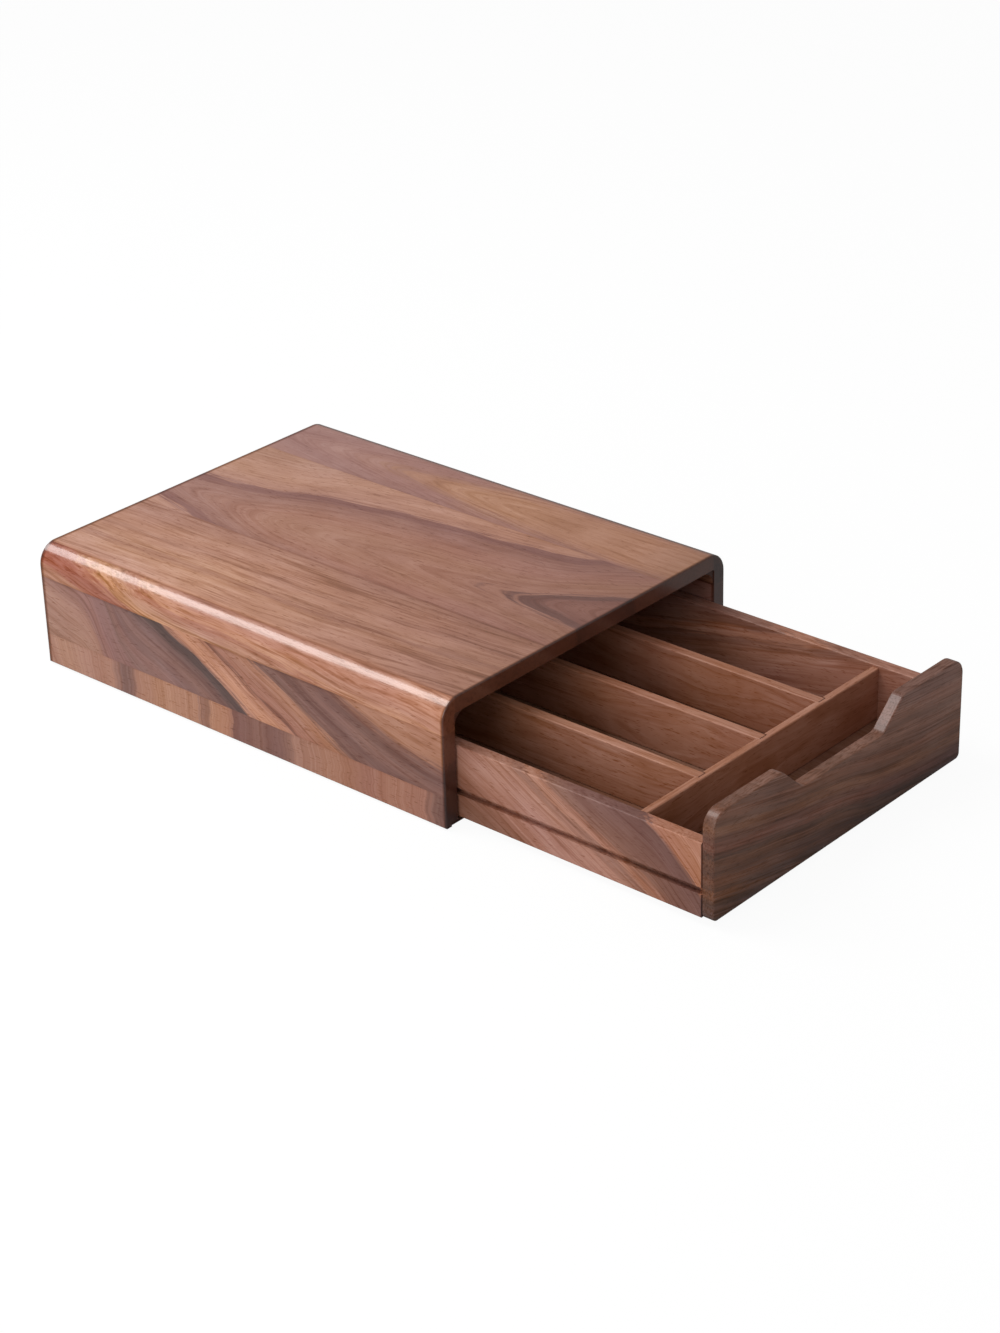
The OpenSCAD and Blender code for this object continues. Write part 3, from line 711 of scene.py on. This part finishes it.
# Places closer than this are the same
HAIR = 0.01 * MM
# Facets of a wide corner, of a small one and of an eased edge
WIDE_FACETS, SMALL_FACETS, EASE_FACETS = 16, 8, 3
# A fold below the first is flat, one below the second is shaded smooth, and one above the third is eased
FLAT, SMOOTH, SHARP = math.radians(1), math.radians(35), math.radians(40)


def add_block(name, low, high):
    """A cube from corner to corner, with its place in its mesh, left in edit mode with nothing selected."""
    bpy.ops.object.select_all(action="DESELECT")
    bpy.ops.mesh.primitive_cube_add(size=1, location=(low + high) / 2)
    block = bpy.context.active_object
    block.name = name
    block.scale = high - low
    bpy.ops.object.transform_apply(location=True, rotation=True, scale=True)
    bpy.ops.object.mode_set(mode="EDIT")
    bpy.ops.mesh.select_all(action="DESELECT")
    return block


def select_where(block, kind, test):
    """Selects the vertices, edges or faces of the block in edit mode that pass the test."""
    bpy.ops.mesh.select_mode(type=kind)
    bpy.ops.mesh.select_all(action="DESELECT")
    mesh = bmesh.from_edit_mesh(block.data)
    parts = {"VERT": mesh.verts, "EDGE": mesh.edges, "FACE": mesh.faces}[kind]
    chosen = [part for part in parts if test(part)]
    for part in chosen:
        part.select = True
    mesh.select_flush_mode()
    bmesh.update_edit_mesh(block.data)
    return len(chosen)


def runs_through(edge, spot_x, spot_z):
    """True for an edge that runs front to back at that X and Z, left or right of the middle."""
    a, b = (v.co for v in edge.verts)
    straight = abs(a.x - b.x) < HAIR and abs(a.z - b.z) < HAIR and abs(a.y - b.y) > HAIR
    return straight and abs(abs(a.x) - spot_x) < HAIR and abs(a.z - spot_z) < HAIR


def round_corner(block, spot_x, spot_z, radius, angle, segments):
    """Rounds the corners at that X and Z; angle is the angle between the two edges that meet there."""
    found = select_where(block, "EDGE", lambda edge: runs_through(edge, spot_x, spot_z))
    bpy.ops.mesh.bevel(offset=radius / math.tan(angle / 2), segments=segments, affect="EDGES")
    print("rounded", found, "corners with radius", round(radius / MM, 1), "mm")


# %% [markdown]
# ### From cube to board
# The notch slopes, so a corner there is wider than a square one: the bevel's offset is worked out
# from the angle and the radius. The last bevel eases every edge by a millimetre. A weighted normal
# step keeps the big flat faces flat in the shading, although their edges are rounded.

# %% Drawer front
front = add_block("drawer_front_board", front_low, front_high)
for cut in (-NOTCH_TOP, -NOTCH_BOTTOM, NOTCH_BOTTOM, NOTCH_TOP):
    bpy.ops.mesh.select_all(action="SELECT")
    bpy.ops.mesh.bisect(plane_co=(cut, 0, 0), plane_no=(1, 0, 0))
select_where(front, "VERT", lambda v: abs(v.co.x) < NOTCH_BOTTOM + HAIR and v.co.z > front_high.z - HAIR)
bpy.ops.transform.translate(value=(0, 0, -NOTCH_DEPTH))
bpy.ops.mesh.select_mode(type="EDGE")
bpy.ops.mesh.select_all(action="SELECT")
bpy.ops.mesh.dissolve_limited(angle_limit=FLAT)
slope = math.atan2(NOTCH_DEPTH, NOTCH_TOP - NOTCH_BOTTOM)
dip = front_high.z - NOTCH_DEPTH
round_corner(front, front_high.x, front_high.z, FRONT_TOP_R, QUARTER, WIDE_FACETS)
round_corner(front, front_high.x, front_low.z, FRONT_LOW_R, QUARTER, SMALL_FACETS)
round_corner(front, NOTCH_TOP, front_high.z, NOTCH_R, math.pi - slope, SMALL_FACETS)
round_corner(front, NOTCH_BOTTOM, dip, NOTCH_R, math.pi - slope, SMALL_FACETS)
bpy.ops.object.mode_set(mode="OBJECT")

ease = front.modifiers.new("ease", "BEVEL")
ease.width = EASE
ease.segments = EASE_FACETS
ease.limit_method = "ANGLE"
ease.angle_limit = SHARP
bpy.ops.object.modifier_apply(modifier="ease")
bpy.ops.object.shade_smooth_by_angle(angle=SMOOTH)
flatten = front.modifiers.new("flatten", "WEIGHTED_NORMAL")
flatten.keep_sharp = True
bpy.ops.object.modifier_apply(modifier="flatten")

front.data.materials.append(front_wood)
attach(front, "drawer")
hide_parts("drawer_front")
print("drawer front has", len(front.data.polygons), "faces")

# %% [markdown]
# ## Camera
# The camera stands to the left of the front and looks down on the drawer, with a long lens, which
# keeps the boards' edges nearly parallel. It is placed by its turn round the object, its height
# angle, its roll and its distance, and then slid sideways a little, so that casing and open drawer
# share the middle of the frame.

# %% Camera
AZIMUTH = math.radians(-48.042)
ELEVATION = math.radians(27.238)
ROLL = math.radians(-1.683)
DISTANCE = 2.24324
SLIDE_RIGHT = 0.08486
SLIDE_UP = -0.00201
PAD_HEIGHT = 0.0015
FOCAL_PIXELS = 3068.1
IMAGE_HEIGHT = 1333
SENSOR = 36.0

back = Vector((
    math.sin(AZIMUTH) * math.cos(ELEVATION),
    -math.cos(AZIMUTH) * math.cos(ELEVATION),
    math.sin(ELEVATION),
))
level = (-back).cross(Vector((0, 0, 1))).normalized()
upright = level.cross(-back)
right = level * math.cos(ROLL) + upright * math.sin(ROLL)
up = -level * math.sin(ROLL) + upright * math.cos(ROLL)
eye = back * DISTANCE + right * SLIDE_RIGHT + up * SLIDE_UP + Vector((0, 0, PAD_HEIGHT))

camera_data = bpy.data.cameras.new("camera")
camera = bpy.data.objects.new("camera", camera_data)
bpy.context.collection.objects.link(camera)
camera_data.sensor_width = SENSOR
camera_data.lens = FOCAL_PIXELS * SENSOR / IMAGE_HEIGHT
camera_data.clip_start = 0.05
camera_data.clip_end = 60.0
camera.matrix_world = Matrix((
    (right.x, up.x, back.x, eye.x),
    (right.y, up.y, back.y, eye.y),
    (right.z, up.z, back.z, eye.z),
    (0, 0, 0, 1),
))
bpy.context.scene.camera = camera
print("lens, mm:", round(camera_data.lens, 2))


# %% [markdown]
# ## Floor
# The worktop is a plain white sheet. What the camera sees of it is mostly its own white, and the
# rest is how the light falls on it, so the object keeps a soft shadow without a grey background. In
# the lacquer it is dimmer than to the eye: a white floor mirrored in dark wood would turn it grey.

# %% Floor
FLOOR_REACH = 8.0
OWN_WHITE = 0.94
DIM_IN_SHINE = 0.7
bpy.ops.object.select_all(action="DESELECT")
bpy.ops.mesh.primitive_plane_add(size=2 * FLOOR_REACH, location=(0, 0, 0))
floor = bpy.context.active_object
floor.name = "worktop"
sheet, sheet_tree, sheet_shader = start_material("white_worktop")
sheet_shader.inputs["Base Color"].default_value = linear("#FFFFFF")
sheet_shader.inputs["Roughness"].default_value = 0.9
sheet_shader.inputs["Specular IOR Level"].default_value = 0.0
ray = add(sheet_tree, "LightPath")
camera_ray, glossy_ray = ray.outputs["Is Camera Ray"], ray.outputs["Is Glossy Ray"]
glow = add(sheet_tree, "Emission", (1, 1, 1, 1), camera_ray)
dimmed = add(sheet_tree, "Math", glossy_ray, DIM_IN_SHINE, operation="MULTIPLY")
share = add(sheet_tree, "Math", camera_ray, OWN_WHITE, dimmed, operation="MULTIPLY_ADD")
blend = add(sheet_tree, "MixShader", share, sheet_shader, glow)
sheet_tree.links.new(blend.outputs[0], sheet_tree.nodes["Material Output"].inputs[0])
floor.data.materials.append(sheet)
print("the floor reaches", FLOOR_REACH, "m to each side")

# %% [markdown]
# ## Light
# A long soft lamp stands behind the casing, to its left and high up. It lights the top and the left
# side and leaves the drawer front in shade, and its mirror image draws the bright line along the
# round edge. A fill on the left lights the side, a weak one in front opens the shadows, and a white
# sky does the rest. The sky is dimmer in the lacquer than it is behind the object, because a bright
# one would wash the wood's colour out.

# %% Light
SKY_LIGHT = 0.45
SKY_IN_SHINE = 0.3
OBJECT_MIDDLE = Vector((0, -0.1, 0.05))


def soft_lamp(name, direction, distance, length, width, power):
    """An area lamp that shines on the object from that direction, with its long side along the casing."""
    lamp_data = bpy.data.lights.new(name, "AREA")
    lamp_data.shape = "RECTANGLE"
    lamp_data.size = length
    lamp_data.size_y = width
    lamp_data.energy = power
    lamp = bpy.data.objects.new(name, lamp_data)
    bpy.context.collection.objects.link(lamp)
    towards = Vector(direction).normalized()
    across = towards.cross(Vector((0, 1, 0))).normalized()
    along = across.cross(towards)
    spot = towards * distance + OBJECT_MIDDLE
    lamp.matrix_world = Matrix((
        (along.x, -across.x, towards.x, spot.x),
        (along.y, -across.y, towards.y, spot.y),
        (along.z, -across.z, towards.z, spot.z),
        (0, 0, 0, 1),
    ))
    print(name, "shines with", power, "W")


soft_lamp("key", (-0.30, 0.50, 0.79), distance=2.0, length=1.8, width=0.9, power=28.0)
soft_lamp("left_fill", (-1.0, -0.15, 0.45), distance=2.2, length=1.2, width=1.2, power=13.0)
soft_lamp("front_fill", (-0.2, -1.0, 0.6), distance=2.4, length=1.2, width=1.2, power=2.0)

world = bpy.data.worlds.new("white_sky")
bpy.context.scene.world = world
world.use_nodes = True
sky = world.node_tree
sky.nodes.clear()
path = add(sky, "LightPath")
camera_ray, glossy_ray = path.outputs["Is Camera Ray"], path.outputs["Is Glossy Ray"]
in_shine = add(sky, "Math", glossy_ray, SKY_IN_SHINE - SKY_LIGHT, SKY_LIGHT, operation="MULTIPLY_ADD")
strength = add(sky, "Math", camera_ray, 1 - SKY_LIGHT, in_shine, operation="MULTIPLY_ADD")
backdrop = add(sky, "Background", (1, 1, 1, 1), strength)
add(sky, "OutputWorld", backdrop)
bpy.context.scene.view_settings.view_transform = "Standard"
